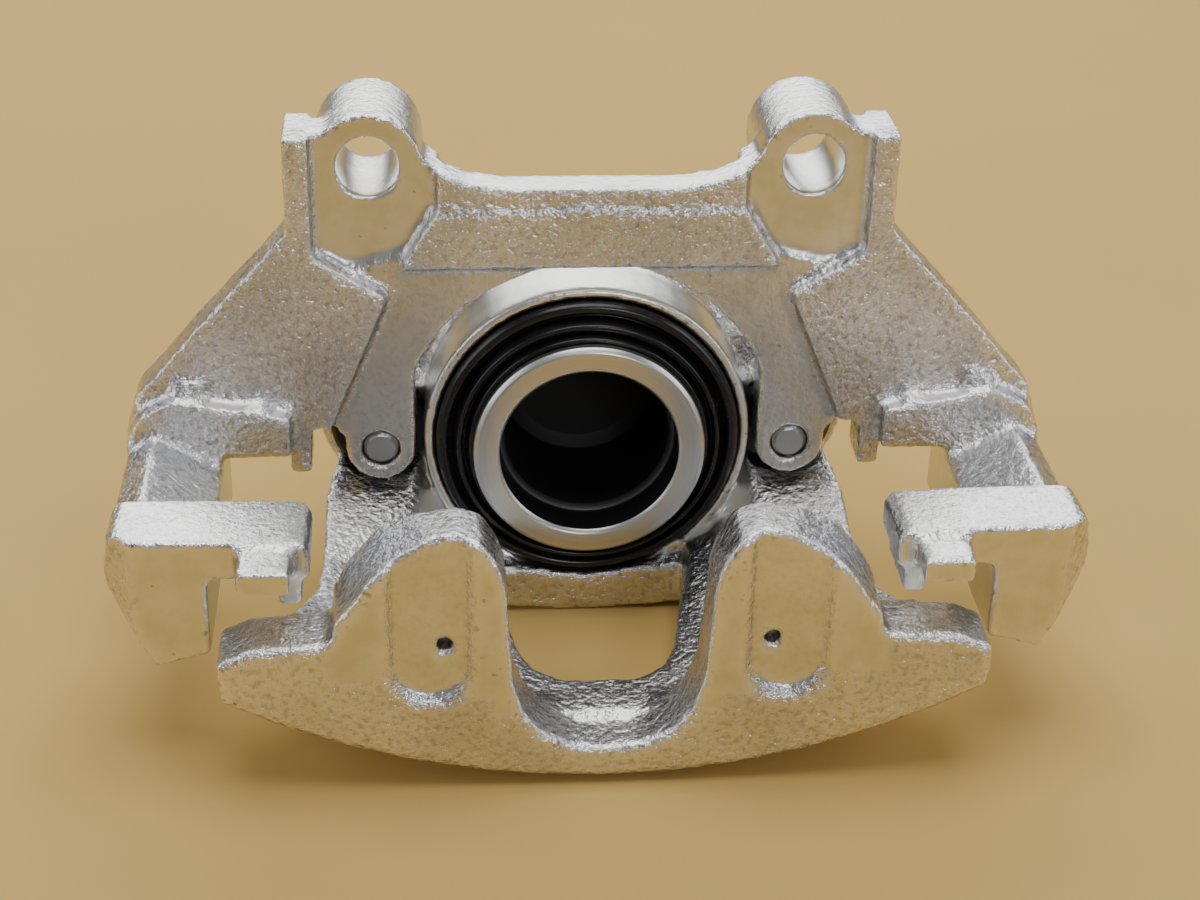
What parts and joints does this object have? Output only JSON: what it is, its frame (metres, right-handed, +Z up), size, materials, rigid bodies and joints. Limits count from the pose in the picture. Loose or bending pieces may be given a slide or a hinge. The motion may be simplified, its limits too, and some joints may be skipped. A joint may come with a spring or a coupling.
{
  "type": "disc brake caliper",
  "caption": "Floating disc brake caliper: bridge housing with forked fingers and one piston, sliding on a carrier with bolt ears and pad abutments.",
  "frame": {"origin": "bottom centre of the bounding box, on the floor the caliper lies on; the caliper rests on the curved back of its bridge", "axes": "+X across the caliper, to the right as seen from the fingers; +Y inboard, from the fingers to the cylinder, parallel to the piston; +Z up, away from the bridge"},
  "size_m": [0.2252, 0.136, 0.1323],
  "materials": {
    "zinc_cast_iron": "satin zinc plated casting",
    "turned_steel": "satin",
    "black_rubber": "semi gloss",
    "liner_plastic": "matte",
    "cap_plastic": "matte"
  },
  "bodies": {
    "carrier": {"carrier": "zinc_cast_iron", "guide_pin_left": "turned_steel", "guide_pin_right": "turned_steel"},
    "housing": {"caliper_housing": "zinc_cast_iron", "piston_seal": "black_rubber", "dust_boot": "black_rubber", "guide_bush_left": "black_rubber", "guide_bush_right": "black_rubber", "guide_liner_left": "liner_plastic", "guide_liner_right": "liner_plastic"},
    "piston": {"piston": "turned_steel"},
    "bleed_screw": {"bleed_screw": "turned_steel"},
    "bleed_cap": {"bleed_cap": "black_rubber"},
    "pin_cap_left": {"pin_cap_left": "cap_plastic"},
    "pin_cap_right": {"pin_cap_right": "cap_plastic"}
  },
  "joints": [
    {"name": "housing_slide", "type": "slide", "parent": "carrier", "child": "housing", "axis": [0, 1, 0], "range_m": [-0.001, 0.012]},
    {"name": "piston_slide", "type": "slide", "parent": "housing", "child": "piston", "axis": [0, -1, 0], "range_m": [-0.0065, 0.025], "deforming": ["dust_boot"]},
    {"name": "bleed_screw_turn", "type": "hinge", "parent": "housing", "child": "bleed_screw", "pos_m": [0, 0.0525, 0.0486], "axis": [-0.7071, 0, 0.7071], "range_deg": [0, 180]},
    {"name": "bleed_cap_pull", "type": "slide", "parent": "bleed_screw", "child": "bleed_cap", "axis": [-0.7071, 0, 0.7071], "range_m": [0, 0.02]},
    {"name": "pin_cap_left_pull", "type": "slide", "parent": "housing", "child": "pin_cap_left", "axis": [0, 1, 0], "range_m": [0, 0.03]},
    {"name": "pin_cap_right_pull", "type": "slide", "parent": "housing", "child": "pin_cap_right", "axis": [0, 1, 0], "range_m": [0, 0.03]}
  ]
}
